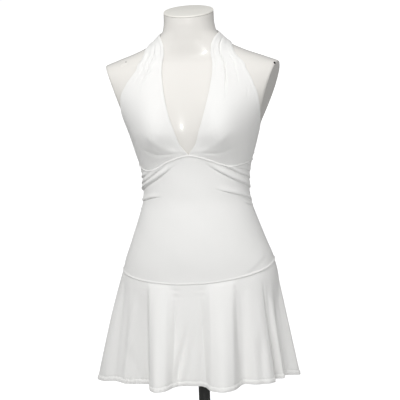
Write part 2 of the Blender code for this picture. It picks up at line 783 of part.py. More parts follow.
def build():
    for item in list(bpy.data.objects):
        bpy.data.objects.remove(item)
    jersey = finish_colour("white_jersey", (0.86, 0.86, 0.85), 0.62)
    shell = finish_colour("gloss_form", (0.82, 0.80, 0.77), 0.28)
    metal = finish_colour("dark_metal", (0.045, 0.045, 0.043), 0.42, 0.9)
    front_bodice(jersey)
    back_bodice(jersey)
    halter_panel("halter_left", 1, jersey)
    halter_panel("halter_right", -1, jersey)
    edge = SKIRT_SEAM_TURN - FLOUNCE_GAP_TURN
    flounce("flounce_front", -edge, edge, jersey)
    edge = SKIRT_SEAM_TURN + FLOUNCE_GAP_TURN
    flounce("flounce_back", edge, 360 - edge, jersey)
    dress_form(shell)
    neck_cap(shell)
    stand(metal)


build()
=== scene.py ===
import math
from collections import namedtuple

import bpy
import numpy as np
from mathutils import Matrix, Vector


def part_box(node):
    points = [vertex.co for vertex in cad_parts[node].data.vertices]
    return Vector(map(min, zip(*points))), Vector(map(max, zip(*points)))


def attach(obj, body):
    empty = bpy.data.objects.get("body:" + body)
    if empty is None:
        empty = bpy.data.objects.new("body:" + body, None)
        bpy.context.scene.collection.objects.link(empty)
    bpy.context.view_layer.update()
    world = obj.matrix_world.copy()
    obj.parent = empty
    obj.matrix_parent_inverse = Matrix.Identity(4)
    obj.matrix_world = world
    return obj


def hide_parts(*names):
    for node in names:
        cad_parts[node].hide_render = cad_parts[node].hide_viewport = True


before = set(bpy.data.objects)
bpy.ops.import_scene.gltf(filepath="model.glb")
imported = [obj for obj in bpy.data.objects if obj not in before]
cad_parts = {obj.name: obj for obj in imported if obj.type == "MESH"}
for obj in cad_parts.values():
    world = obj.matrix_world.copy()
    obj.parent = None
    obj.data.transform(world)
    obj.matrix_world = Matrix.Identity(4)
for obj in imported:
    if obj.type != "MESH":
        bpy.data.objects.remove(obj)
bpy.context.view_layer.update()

# Camera
# A long lens 4.5 m away at about the height of the neck, a little to the wearer's left.
# It is tipped slightly, so the dress leans in the picture as it does in the photograph.
pole_low, pole_high = (Vector(corner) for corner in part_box("stand_pole"))
AXIS = (pole_low + pole_high) / 2
CAMERA_TURN = math.radians(9)
CAMERA_AWAY = 4.5
CAMERA_HEIGHT = 1.03
LOOK_HEIGHT = 0.535
LOOK_ASIDE = 0.0065
PICTURE_WIDTH = 0.863
CAMERA_ROLL = math.radians(2.2)

camera_data = bpy.data.cameras.new("camera")
camera_data.lens = camera_data.sensor_width * CAMERA_AWAY / PICTURE_WIDTH
camera_data.clip_end = 200
camera = bpy.data.objects.new("camera", camera_data)
bpy.context.scene.collection.objects.link(camera)
aside = Vector((math.cos(CAMERA_TURN), math.sin(CAMERA_TURN), 0)) * LOOK_ASIDE
toward = Vector((math.sin(CAMERA_TURN), -math.cos(CAMERA_TURN), 0))
look_at = Vector((AXIS.x, AXIS.y, LOOK_HEIGHT)) + aside
camera_at = Vector((AXIS.x, AXIS.y, CAMERA_HEIGHT)) + aside + toward * CAMERA_AWAY
aim = (look_at - camera_at).to_track_quat("-Z", "Y").to_matrix().to_4x4()
camera.matrix_world = Matrix.Translation(camera_at) @ aim @ Matrix.Rotation(-CAMERA_ROLL, 4, "Z")
bpy.context.scene.camera = camera

# Dress form
# A hollow moulded shell, sprayed off-white and glossy, cut off flat at the arms and at the base.
# Its surface is worked out from a table of sections, and the cloth is later laid on it.
Section = namedtuple("Section", "height half_width front back middle corner")
FIGURE = [
    Section(0.262, 0.1580, 0.092, 0.102, 0.004, 0.020),
    Section(0.310, 0.1665, 0.099, 0.112, 0.004, 0.020),
    Section(0.365, 0.1680, 0.105, 0.113, 0.004, 0.018),
    Section(0.400, 0.1620, 0.105, 0.107, 0.003, 0.015),
    Section(0.450, 0.1440, 0.100, 0.093, 0.000, 0.012),
    Section(0.500, 0.1260, 0.091, 0.079, -0.002, 0.012),
    Section(0.550, 0.1125, 0.083, 0.069, -0.003, 0.015),
    Section(0.600, 0.1150, 0.084, 0.071, -0.002, 0.020),
    Section(0.640, 0.1265, 0.089, 0.078, 0.001, 0.025),
    Section(0.690, 0.1405, 0.094, 0.088, 0.003, 0.030),
    Section(0.740, 0.1680, 0.092, 0.093, 0.004, 0.035),
    Section(0.780, 0.1940, 0.083, 0.085, 0.003, 0.035),
    Section(0.810, 0.2060, 0.072, 0.074, 0.001, 0.030),
    Section(0.828, 0.1950, 0.064, 0.066, -0.001, 0.020),
    Section(0.843, 0.1600, 0.058, 0.061, -0.003, 0.010),
    Section(0.858, 0.1190, 0.055, 0.058, -0.006, 0.000),
    Section(0.873, 0.0880, 0.054, 0.056, -0.009, 0.000),
    Section(0.888, 0.0700, 0.053, 0.054, -0.012, 0.000),
    Section(0.905, 0.0570, 0.053, 0.053, -0.015, 0.000),
    Section(0.925, 0.0540, 0.053, 0.054, -0.017, 0.000),
    Section(0.960, 0.0535, 0.054, 0.054, -0.018, 0.000),
]
FORM_BOTTOM = 0.262
NECK_TOP = 0.942
NECK_SLANT = 0.20
NECK_START = 0.905
ARM_CUT_X = 0.1855
ARM_CUT_TOP = 0.8236
ARM_CUT_BOTTOM = 0.690
ARM_CUT_SLOPE = 0.3346
ARM_CUT_TOE = math.radians(7)
ARM_CUT_ROUND = 0.004
BUST_HEIGHT = 0.694
BUST_X = 0.076
BUST_OUT = 0.034
BUST_SPREAD_X = 0.037
BUST_SPREAD_UP = 0.050
BUST_SPREAD_DOWN = 0.036


def read(rows, column, x):
    """Smooth values of a table's column at the places x, held at the table's two ends."""
    xs = np.array([row[0] for row in rows], float)
    ys = np.array([getattr(row, column) for row in rows], float)
    rises = np.diff(ys) / np.diff(xs)
    product = rises[:-1] * rises[1:]
    total = np.where(product > 0, rises[:-1] + rises[1:], 1.0)
    slopes = np.concatenate([rises[:1], np.where(product > 0, 2 * product / total, 0.0), rises[-1:]])
    x = np.clip(x, xs[0], xs[-1])
    i = np.clip(np.searchsorted(xs, x, side="right") - 1, 0, len(xs) - 2)
    width = xs[i + 1] - xs[i]
    s = (x - xs[i]) / width
    return (
        ys[i] * (1 + 2 * s) * (1 - s) ** 2
        + ys[i + 1] * s * s * (3 - 2 * s)
        + width * slopes[i] * s * (1 - s) ** 2
        + width * slopes[i + 1] * s * s * (s - 1)
    )


def ease(x):
    x = np.clip(x, 0.0, 1.0)
    return x * x * (3 - 2 * x)


def mix(a, b, share):
    return a + (b - a) * share


def soft_least(a, b, blend):
    over = np.maximum(blend - np.abs(a - b), 0.0)
    return np.minimum(a, b) - over * over / (4 * blend)


def figure_size(column, height):
    """A size of the figure, evened out over a few centimetres below the shoulders."""
    reach = 0.016 * ease((0.79 - height) / 0.04)
    total = sum(
        weight * read(FIGURE, column, height + step * reach)
        for step, weight in ((-1, 1), (-0.5, 2), (0, 3), (0.5, 2), (1, 1))
    )
    return total / 9


def figure_point(turn, height):
    """Points of the figure. The turn is in degrees from the front, towards the wearer's left."""
    turn, height = np.broadcast_arrays(np.asarray(turn, float), np.asarray(height, float))
    angle = np.radians(turn)
    middle = figure_size("middle", height)
    square = 1 + figure_size("corner", height) * np.sin(2 * angle) ** 2
    depth = np.where(
        np.cos(angle) > 0,
        figure_size("front", height),
        figure_size("back", height),
    )
    x = figure_size("half_width", height) * square * np.sin(angle)
    y = middle - depth * square * np.cos(angle)
    level = ARM_CUT_X * math.cos(ARM_CUT_TOE) + ARM_CUT_SLOPE * (height - ARM_CUT_TOP)
    limit = (level + y * math.sin(ARM_CUT_TOE)) / math.cos(ARM_CUT_TOE)
    blend = ARM_CUT_ROUND * ease((height - ARM_CUT_BOTTOM) / 0.02) + 1e-5
    cut = np.copysign(soft_least(np.abs(x), limit, blend), x)
    x = np.where(height > ARM_CUT_BOTTOM, cut, x)
    spread = np.where(height > BUST_HEIGHT, BUST_SPREAD_UP, BUST_SPREAD_DOWN)
    up = np.exp(-0.5 * ((height - BUST_HEIGHT) / spread) ** 2)
    across = sum(np.exp(-0.5 * ((x - s * BUST_X) / BUST_SPREAD_X) ** 2) for s in (-1, 1))
    y = y - BUST_OUT * up * across * ease(np.cos(angle) / 0.55)
    slant = NECK_SLANT * ease((height - NECK_START) / (NECK_TOP - NECK_START))
    z = height + slant * (y - middle)
    return np.stack([x + AXIS.x, y + AXIS.y, z], axis=-1)


def unit(vectors):
    return vectors / np.maximum(np.linalg.norm(vectors, axis=-1, keepdims=True), 1e-12)


def off_figure(turn, height, out, tilt=1.0):
    """Points moved off the figure along its normals. With a tilt of 0 they are moved out level."""
    across = figure_point(turn + 0.4, height) - figure_point(turn - 0.4, height)
    up = figure_point(turn, height + 0.0015) - figure_point(turn, height - 0.0015)
    normal = unit(np.cross(across, up))
    normal[..., 2] *= tilt
    return figure_point(turn, height) + unit(normal) * np.asarray(out)[..., None]


def mesh_object(name, points, faces, smooth_below=50):
    """A piece of the object from its points and faces, smooth but for its sharp edges."""
    mesh = bpy.data.meshes.new(name)
    mesh.from_pydata(points, [], faces)
    mesh.update()
    piece = bpy.data.objects.new(name, mesh)
    bpy.context.scene.collection.objects.link(piece)
    bpy.ops.object.select_all(action="DESELECT")
    bpy.context.view_layer.objects.active = piece
    piece.select_set(True)
    bpy.ops.object.shade_smooth_by_angle(angle=math.radians(smooth_below))
    return piece


FORM_COLUMNS = 320
form_rows = np.concatenate([np.linspace(FORM_BOTTOM, 0.64, 50), np.linspace(0.643, NECK_TOP, 130)])
form_turns = np.arange(FORM_COLUMNS) * 360 / FORM_COLUMNS
form_grid = figure_point(form_turns[None, :], form_rows[:, None])
form_points = form_grid.reshape(-1, 3).tolist()
form_faces = []
for i in range(len(form_rows) - 1):
    for j in range(FORM_COLUMNS):
        k = (j + 1) % FORM_COLUMNS
        a, b = i * FORM_COLUMNS, (i + 1) * FORM_COLUMNS
        form_faces.append((a + j, a + k, b + k, b + j))
form_faces.append(tuple(reversed(range(FORM_COLUMNS))))
form_faces.append(tuple(range(len(form_points) - FORM_COLUMNS, len(form_points))))
torso = mesh_object("dress_form_torso", form_points, form_faces)

SHELL_COLOUR = (0.845, 0.825, 0.79, 1)
shell = bpy.data.materials.new("gloss_sprayed_shell")
shell.use_nodes = True
nodes, links = shell.node_tree.nodes, shell.node_tree.links
shader = nodes["Principled BSDF"]
shader.inputs["IOR"].default_value = 1.48
shader.inputs["Coat Weight"].default_value = 0.6
shader.inputs["Coat Roughness"].default_value = 0.05
place = nodes.new("ShaderNodeTexCoord")
cloudy = nodes.new("ShaderNodeTexNoise")
cloudy.inputs["Scale"].default_value = 9
cloudy.inputs["Detail"].default_value = 4
links.new(place.outputs["Object"], cloudy.inputs["Vector"])
tint = nodes.new("ShaderNodeMix")
tint.data_type = "RGBA"
tint.inputs["A"].default_value = SHELL_COLOUR
tint.inputs["B"].default_value = (0.83, 0.808, 0.765, 1)
links.new(cloudy.outputs["Fac"], tint.inputs["Factor"])
links.new(tint.outputs["Result"], shader.inputs["Base Color"])
gloss = nodes.new("ShaderNodeMapRange")
gloss.inputs["To Min"].default_value = 0.20
gloss.inputs["To Max"].default_value = 0.30
links.new(cloudy.outputs["Fac"], gloss.inputs["Value"])
links.new(gloss.outputs["Result"], shader.inputs["Roughness"])
orange_peel = nodes.new("ShaderNodeTexNoise")
orange_peel.inputs["Scale"].default_value = 420
orange_peel.inputs["Detail"].default_value = 1
links.new(place.outputs["Object"], orange_peel.inputs["Vector"])
peel_bump = nodes.new("ShaderNodeBump")
peel_bump.inputs["Strength"].default_value = 0.05
peel_bump.inputs["Distance"].default_value = 0.0002
links.new(orange_peel.outputs["Fac"], peel_bump.inputs["Height"])
links.new(peel_bump.outputs["Normal"], shader.inputs["Normal"])
torso.data.materials.append(shell)
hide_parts("form_torso")
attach(torso, "root")

# Arm pins
# The ends of two small dark pins by the arm cuts, where arms can be fixed to the form.
pin_finish = bpy.data.materials.new("blackened_pin")
pin_finish.use_nodes = True
nodes, links = pin_finish.node_tree.nodes, pin_finish.node_tree.links
shader = nodes["Principled BSDF"]
shader.inputs["Metallic"].default_value = 1.0
place = nodes.new("ShaderNodeTexCoord")
worn = nodes.new("ShaderNodeTexNoise")
worn.inputs["Scale"].default_value = 900
links.new(place.outputs["Object"], worn.inputs["Vector"])
tint = nodes.new("ShaderNodeMix")
tint.data_type = "RGBA"
tint.inputs["A"].default_value = (0.02, 0.02, 0.02, 1)
tint.inputs["B"].default_value = (0.07, 0.065, 0.06, 1)
links.new(worn.outputs["Fac"], tint.inputs["Factor"])
links.new(tint.outputs["Result"], shader.inputs["Base Color"])
shader.inputs["Roughness"].default_value = 0.4
for pin_turn, pin_height, pin_radius in ((-54.25, 0.8405, 0.0012), (69.0, 0.8285, 0.0026)):
    seat = Vector(figure_point(pin_turn, pin_height))
    out = Vector(off_figure(pin_turn, pin_height, np.array(1.0))) - seat
    bpy.ops.object.select_all(action="DESELECT")
    bpy.ops.mesh.primitive_cylinder_add(
        vertices=24,
        radius=pin_radius,
        depth=0.0020,
        location=seat - out * 0.0004,
        rotation=out.to_track_quat("Z", "Y").to_euler(),
    )
    pin = bpy.context.object
    pin.name = "arm_pin_left" if pin_turn > 0 else "arm_pin_right"
    bpy.ops.object.transform_apply(location=True, rotation=True, scale=True)
    bevel = pin.modifiers.new("edge", "BEVEL")
    bevel.width = 0.0002
    bevel.segments = 2
    bevel.limit_method = "ANGLE"
    bpy.ops.object.modifier_apply(modifier=bevel.name)
    bpy.ops.object.shade_smooth_by_angle(angle=math.radians(40))
    pin.data.materials.append(pin_finish)
    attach(pin, "root")

# Neck cap
# A turned disc that closes the neck, cut at the same slant, with a fine shadow gap under it.
CAP_GAP = 0.0005
CAP_THICK = 0.0038
cap_low, cap_high = (Vector(corner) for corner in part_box("form_neck_cap"))
cap_middle = (cap_low + cap_high) / 2
bpy.ops.object.select_all(action="DESELECT")
bpy.ops.mesh.primitive_cylinder_add(
    vertices=160,
    radius=(cap_high.x - cap_low.x) / 2,
    depth=CAP_THICK - CAP_GAP,
    location=(cap_middle.x, cap_middle.y, NECK_TOP + (CAP_THICK + CAP_GAP) / 2),
)
cap = bpy.context.object
cap.name = "dress_form_neck_cap"
bpy.ops.object.transform_apply(location=True, rotation=True, scale=True)
bevel = cap.modifiers.new("edge", "BEVEL")
bevel.width = 0.0009
bevel.segments = 4
bevel.limit_method = "ANGLE"
bpy.ops.object.modifier_apply(modifier=bevel.name)
for vertex in cap.data.vertices:
    vertex.co.z += NECK_SLANT * (vertex.co.y - cap_middle.y)
bpy.ops.object.shade_smooth_by_angle(angle=math.radians(40))
cap_finish = bpy.data.materials.new("cap_lacquer")
cap_finish.use_nodes = True
nodes, links = cap_finish.node_tree.nodes, cap_finish.node_tree.links
shader = nodes["Principled BSDF"]
shader.inputs["Base Color"].default_value = (0.90, 0.885, 0.83, 1)
place = nodes.new("ShaderNodeTexCoord")
brushed = nodes.new("ShaderNodeTexNoise")
brushed.inputs["Scale"].default_value = 60
links.new(place.outputs["Object"], brushed.inputs["Vector"])
gloss = nodes.new("ShaderNodeMapRange")
gloss.inputs["To Min"].default_value = 0.32
gloss.inputs["To Max"].default_value = 0.42
links.new(brushed.outputs["Fac"], gloss.inputs["Value"])
links.new(gloss.outputs["Result"], shader.inputs["Roughness"])
cap.data.materials.clear()
cap.data.materials.append(cap_finish)
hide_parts("form_neck_cap")
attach(cap, "root")

# Bodice
# Midriff and hips in one piece of doubled stretch jersey, front and back, sewn at the sides.
# The side seams are gathered from the waist up, so ridges run from them towards the bust.
CLEAR = 0.0010
CLOTH = 0.0015
SEAM_GAP = 0.0003
SIDE_SEAM = 97.0
RUCHED_END = 0.512
HIP_SEAM_TILT = 0.005
BODICE_WIDTH = 0.30
BODICE_HEIGHT = 0.25
# About how far a degree of turn is along the cloth at the hip, the waist and the hem.
HIP_DEGREE = 0.0021
WAIST_DEGREE = 0.0016
HEM_DEGREE = 0.004

SeamPoint = namedtuple("SeamPoint", "turn height")
UNDERBUST = [
    SeamPoint(0, 0.6430),
    SeamPoint(8, 0.6400),
    SeamPoint(16, 0.6345),
    SeamPoint(24, 0.6280),
    SeamPoint(33, 0.6185),
    SeamPoint(43, 0.6110),
    SeamPoint(53, 0.6090),
    SeamPoint(64, 0.6120),
    SeamPoint(78, 0.6185),
    SeamPoint(97, 0.6240),
]
BACK_TOP = [SeamPoint(97, 0.6370), SeamPoint(130, 0.6330), SeamPoint(180, 0.6300)]
HIP_SEAM = [
    SeamPoint(0, 0.3650),
    SeamPoint(8, 0.3652),
    SeamPoint(30, 0.3700),
    SeamPoint(60, 0.3820),
    SeamPoint(90, 0.3960),
    SeamPoint(120, 0.4050),
    SeamPoint(150, 0.4090),
    SeamPoint(172, 0.4099),
    SeamPoint(180, 0.4100),
]
Flow = namedtuple("Flow", "turn crowd")
FLOWS = [
    Flow(0, 0.26),
    Flow(25, 0.28),
    Flow(50, 0.36),
    Flow(66, 0.50),
    Flow(97, 1.00),
    Flow(130, 0.90),
    Flow(180, 0.80),
]
# Behind, level is the line that a ridge follows, from 0 at the waist to 1 at the top edge, and
# end_turn is where it has died away. Rise and spread are its height and width.
Gather = namedtuple("Gather", "side level end_turn rise spread")
GATHERS = [
    Gather(1, 0.16, 140, 0.0030, 0.050),
    Gather(1, 0.42, 152, 0.0038, 0.050),
    Gather(1, 0.70, 142, 0.0030, 0.045),
    Gather(1, 0.29, 116, 0.0014, 0.024),
    Gather(1, 0.56, 120, 0.0016, 0.024),
    Gather(1, 0.86, 122, 0.0012, 0.022),
    Gather(-1, 0.14, 136, 0.0028, 0.050),
    Gather(-1, 0.40, 150, 0.0038, 0.050),
    Gather(-1, 0.68, 146, 0.0032, 0.045),
    Gather(-1, 0.27, 118, 0.0014, 0.024),
    Gather(-1, 0.54, 114, 0.0016, 0.024),
    Gather(-1, 0.84, 124, 0.0012, 0.022),
]
# In front each fold follows its own line up from the side seam. Above and below are how wide it
# is on either side of its crest, and the groove is the crease that it closes on beneath it.
Fold = namedtuple("Fold", "side rise above below groove line")
Spot = namedtuple("Spot", "turn height")
FOLDS = [
    Fold(1, 0.0030, 0.0036, 0.0015, 0.0014,
         [Spot(19, 0.6385), Spot(29, 0.6280), Spot(41, 0.6145), Spot(60, 0.5985), Spot(97, 0.5810)]),
    Fold(1, 0.0042, 0.0050, 0.0019, 0.0020,
         [Spot(14, 0.6315), Spot(23, 0.6180), Spot(35, 0.6030), Spot(54, 0.5850), Spot(97, 0.5600)]),
    Fold(1, 0.0030, 0.0055, 0.0012, 0.0015,
         [Spot(25, 0.5700), Spot(41, 0.5605), Spot(58, 0.5520), Spot(97, 0.5340)]),
    Fold(1, 0.0012, 0.0030, 0.0012, 0.0008,
         [Spot(62, 0.5355), Spot(80, 0.5265), Spot(97, 0.5200)]),
    Fold(1, 0.0014, 0.0024, 0.0012, 0.0008,
         [Spot(47, 0.6120), Spot(60, 0.6085), Spot(97, 0.5960)]),
    Fold(1, 0.0012, 0.0024, 0.0012, 0.0005,
         [Spot(66, 0.6200), Spot(80, 0.6130), Spot(97, 0.6090)]),
    Fold(1, 0.0014, 0.0026, 0.0014, 0.0007,
         [Spot(68, 0.5860), Spot(82, 0.5760), Spot(97, 0.5710)]),
    Fold(1, 0.0007, 0.0070, 0.0030, 0.0003,
         [Spot(36, 0.3840), Spot(47, 0.3950), Spot(59, 0.4095), Spot(72, 0.4230)]),
    Fold(-1, 0.0042, 0.0046, 0.0018, 0.0020,
         [Spot(11, 0.6300), Spot(25, 0.6095), Spot(41, 0.5910), Spot(60, 0.5760), Spot(97, 0.5580)]),
    Fold(-1, 0.0028, 0.0034, 0.0016, 0.0013,
         [Spot(20, 0.6280), Spot(37, 0.6090), Spot(52, 0.5930), Spot(82, 0.5760), Spot(97, 0.5710)]),
    Fold(-1, 0.0022, 0.0026, 0.0014, 0.0010,
         [Spot(46, 0.6080), Spot(60, 0.5985), Spot(81, 0.5900), Spot(97, 0.5850)]),
    Fold(-1, 0.0024, 0.0046, 0.0012, 0.0013,
         [Spot(30, 0.5550), Spot(51, 0.5490), Spot(70, 0.5420), Spot(97, 0.5360)]),
    Fold(-1, 0.0012, 0.0024, 0.0012, 0.0006,
         [Spot(64, 0.6060), Spot(82, 0.6020), Spot(97, 0.6000)]),
    Fold(-1, 0.0010, 0.0026, 0.0014, 0.0005,
         [Spot(66, 0.5240), Spot(82, 0.5200), Spot(97, 0.5190)]),
]
SEAM_LIFT = Spot(57, 0.0075)
SEAM_LIFT_SPREAD = 17


def mirrored(turn):
    return np.abs((np.asarray(turn) + 180) % 360 - 180)


def hip_seam_height(turn):
    return read(HIP_SEAM, "height", mirrored(turn)) + HIP_SEAM_TILT * np.sin(np.radians(turn))


def underbust_height(turn):
    lift = SEAM_LIFT.height * np.exp(-0.5 * ((turn - SEAM_LIFT.turn) / SEAM_LIFT_SPREAD) ** 2)
    return read(UNDERBUST, "height", mirrored(turn)) + lift


def top_edge(turn):
    front = underbust_height(turn) - SEAM_GAP / 2
    return np.where(mirrored(turn) < SIDE_SEAM, front, read(BACK_TOP, "height", mirrored(turn)))


def gather_rise(turn, level):
    """How far the gathers lift the cloth, steeper on their lower side, where the cloth hangs."""
    total = np.zeros(np.broadcast(turn, level).shape)
    for fold in GATHERS:
        share = (mirrored(turn) - SIDE_SEAM) / (fold.end_turn - SIDE_SEAM)
        on_side = (np.sign(np.sin(np.radians(turn))) == fold.side) & (share >= 0) & (share <= 1)
        away = level - fold.level
        spread = np.where(away > 0, fold.spread, 0.5 * fold.spread)
        held = mix(0.45, 1.0, ease(share / 0.2))
        fade = held * ease((1 - share) / 0.65)
        total += np.where(on_side, fold.rise * fade * np.exp(-0.5 * (away / spread) ** 2), 0.0)
    return total


def fold_rise(turn, height):
    total = np.zeros(np.broadcast(turn, height).shape)
    for fold in FOLDS:
        away = mirrored(turn)
        line = read(fold.line, "height", away)
        climb = read(fold.line, "height", away + 1) - read(fold.line, "height", away - 1)
        slope = climb / (2 * HIP_DEGREE)
        off = (height - line) / np.sqrt(1 + slope ** 2)
        width = np.where(off > 0, fold.above, fold.below)
        first, last = fold.line[0].turn, fold.line[-1].turn
        share = (away - first) / (last - first)
        end = mix(0.55, 1.0, ease((last - away) / 14)) if last > 90 else ease((last - away) / 8)
        fade = ease(share / 0.30) * end * (share <= 1.001)
        crest = fold.rise * np.exp(-0.5 * (off / width) ** 2)
        crease = fold.groove * np.exp(-0.5 * ((off + 2.3 * fold.below) / (0.7 * fold.below)) ** 2)
        on_side = np.sign(np.sin(np.radians(turn))) == fold.side
        total = total + np.where(on_side, fade * (crest - crease), 0.0)
    return total


def cloth_wall(name, middle, thick, across_uv, along_uv):
    """A closed wall of cloth from the points of its middle surface, rows going down."""
    right = np.gradient(middle, axis=1)
    down = np.gradient(middle, axis=0)
    normal = unit(np.cross(down, right))
    half = normal * (np.asarray(thick) / 2)[..., None]
    rows, columns = middle.shape[:2]
    count = rows * columns
    points = np.concatenate([(middle + half).reshape(-1, 3), (middle - half).reshape(-1, 3)])
    index = np.arange(count).reshape(rows, columns)
    a, b, c, d = index[:-1, :-1], index[1:, :-1], index[1:, 1:], index[:-1, 1:]
    outer = np.stack([a, b, c, d], axis=-1).reshape(-1, 4)
    inner = np.stack([a, d, c, b], axis=-1).reshape(-1, 4) + count
    rim = np.concatenate([index[:-1, 0], index[-1, :-1], index[:0:-1, -1], index[0, :0:-1]])
    after = np.roll(rim, -1)
    edge = np.stack([rim, rim + count, after + count, after], axis=-1)
    faces = np.concatenate([outer, inner, edge])
    piece = mesh_object(name, points.tolist(), faces.tolist(), 60)
    uv = np.stack([np.broadcast_to(across_uv, middle.shape[:2]),
                   np.broadcast_to(along_uv, middle.shape[:2])], axis=-1).reshape(-1, 2)
    layer = piece.data.uv_layers.new(name="cut")
    corners = np.empty(len(piece.data.loops), int)
    piece.data.loops.foreach_get("vertex_index", corners)
    layer.data.foreach_set("uv", uv[corners % count].ravel())
    return piece


def rounded(distance, radius=0.0007):
    """The share of full thickness at this distance from a folded edge."""
    x = np.clip(distance / radius, 0.0, 1.0)
    return 0.12 + 0.88 * np.sqrt(1 - (1 - x) ** 2)


def ridge(distance, centre, width, height):
    """A rolled seam allowance: a soft ridge at that distance from the edge."""
    return height * np.exp(-0.5 * ((distance - centre) / width) ** 2)


def edge_steps(length, count, fine=(0.0, 0.00015, 0.0004, 0.0008)):
    """Places from 0 to length, evenly spaced but finer at both edges."""
    plain = np.linspace(0.0016, length - 0.0016, count)
    fine = np.array(fine)
    return np.concatenate([fine, plain, length - fine[::-1]])


def bodice_panel(name, start, end, columns):
    turns = start + (end - start) * edge_steps(BODICE_WIDTH, columns) / BODICE_WIDTH
    shares = edge_steps(BODICE_HEIGHT, 185) / BODICE_HEIGHT
    turn = turns[None, :]
    top = top_edge(turn)
    bottom = hip_seam_height(turn) + SEAM_GAP / 2
    height = mix(top, bottom, shares[:, None])
    above_waist = np.clip((height - RUCHED_END) / (top - RUCHED_END), 0, 1)
    level = above_waist ** (1 / read(FLOWS, "crowd", mirrored(turn)))
    fade = ease((1 - level) / 0.06)
    below = (RUCHED_END - height) / 0.02
    from_top = top - height
    from_hip = height - bottom
    if start < 0:
        rise = np.maximum(fold_rise(turn, height) * ease(from_top / 0.004), -0.0007)
    else:
        rise = gather_rise(turn, level) * np.where(height > RUCHED_END, fade, 1 - ease(below))
    hip_roll = mix(0.0011, 0.0020, ease((mirrored(turn) - 20) / 55))
    rise = rise + ridge(from_top, 0.0018, 0.0012, 0.0017) + ridge(from_hip, 0.0017, 0.0011, hip_roll)
    angle = np.radians(turn)
    rise = rise + 0.00035 * np.sin(5 * angle + 38 * height) * np.sin(46 * height + 3 * angle)
    from_side = np.minimum(turns - turns[0], turns[-1] - turns)[None, :] * WAIST_DEGREE
    sides = 0.0006 * np.exp(-0.5 * ((from_side - 0.003) / 0.0014) ** 2)
    thick = CLOTH * rounded(from_top, 0.0003) * rounded(from_side, 0.0004) * rounded(from_hip)
    tilt = ease((from_hip - 0.001) / 0.015)
    middle = off_figure(turn, height, CLEAR + CLOTH / 2 + rise + sides, tilt)
    return cloth_wall(name, middle, thick, turns[None, :] * HIP_DEGREE, height)


# Jersey: a fine knit of wales and courses that follow the cut, with a soft sheen.
JERSEY_COLOUR = (0.90, 0.897, 0.882, 1)
# BAND_STEP is how far apart a wave texture's bands are at a scale of 1.
BAND_STEP = 2 * math.pi / 20
WALE_STEP = 0.000283019
COURSE_STEP = 0.000220126
jersey = bpy.data.materials.new("white_stretch_jersey")
jersey.use_nodes = True
nodes, links = jersey.node_tree.nodes, jersey.node_tree.links
shader = nodes["Principled BSDF"]
shader.inputs["Roughness"].default_value = 0.6
shader.inputs["Sheen Weight"].default_value = 0.12
shader.inputs["Sheen Roughness"].default_value = 0.5
shader.inputs["Specular IOR Level"].default_value = 0.35
cut_uv = nodes.new("ShaderNodeUVMap")
cut_uv.uv_map = "cut"
wales = nodes.new("ShaderNodeTexWave")
wales.bands_direction = "X"
wales.inputs["Scale"].default_value = BAND_STEP / WALE_STEP
wales.inputs["Distortion"].default_value = 0.6
wales.inputs["Detail"].default_value = 1
courses = nodes.new("ShaderNodeTexWave")
courses.bands_direction = "Y"
courses.inputs["Scale"].default_value = BAND_STEP / COURSE_STEP
courses.inputs["Distortion"].default_value = 0.4
for wave in (wales, courses):
    links.new(cut_uv.outputs["UV"], wave.inputs["Vector"])
knit = nodes.new("ShaderNodeMath")
knit.operation = "MULTIPLY_ADD"
knit.inputs[1].default_value = 0.45
links.new(courses.outputs["Fac"], knit.inputs[0])
links.new(wales.outputs["Fac"], knit.inputs[2])
knit_bump = nodes.new("ShaderNodeBump")
knit_bump.inputs["Strength"].default_value = 0.35
knit_bump.inputs["Distance"].default_value = 0.00012
links.new(knit.outputs["Value"], knit_bump.inputs["Height"])
links.new(knit_bump.outputs["Normal"], shader.inputs["Normal"])
place = nodes.new("ShaderNodeTexCoord")
uneven = nodes.new("ShaderNodeTexNoise")
uneven.inputs["Scale"].default_value = 14
uneven.inputs["Detail"].default_value = 5
links.new(place.outputs["Object"], uneven.inputs["Vector"])
tint = nodes.new("ShaderNodeMix")
tint.data_type = "RGBA"
tint.inputs["A"].default_value = JERSEY_COLOUR
tint.inputs["B"].default_value = (0.88, 0.877, 0.860, 1)
links.new(uneven.outputs["Fac"], tint.inputs["Factor"])
links.new(tint.outputs["Result"], shader.inputs["Base Color"])


def cloth_piece(piece, node):
    piece.data.materials.append(jersey)
    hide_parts(node)
    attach(piece, "root")


bodice_front = bodice_panel("bodice_front_panel", -SIDE_SEAM + 0.15, SIDE_SEAM - 0.15, 200)
bodice_back = bodice_panel("bodice_back_panel", SIDE_SEAM + 0.15, 360 - SIDE_SEAM - 0.15, 110)
cloth_piece(bodice_front, "bodice_front")
cloth_piece(bodice_back, "bodice_back")

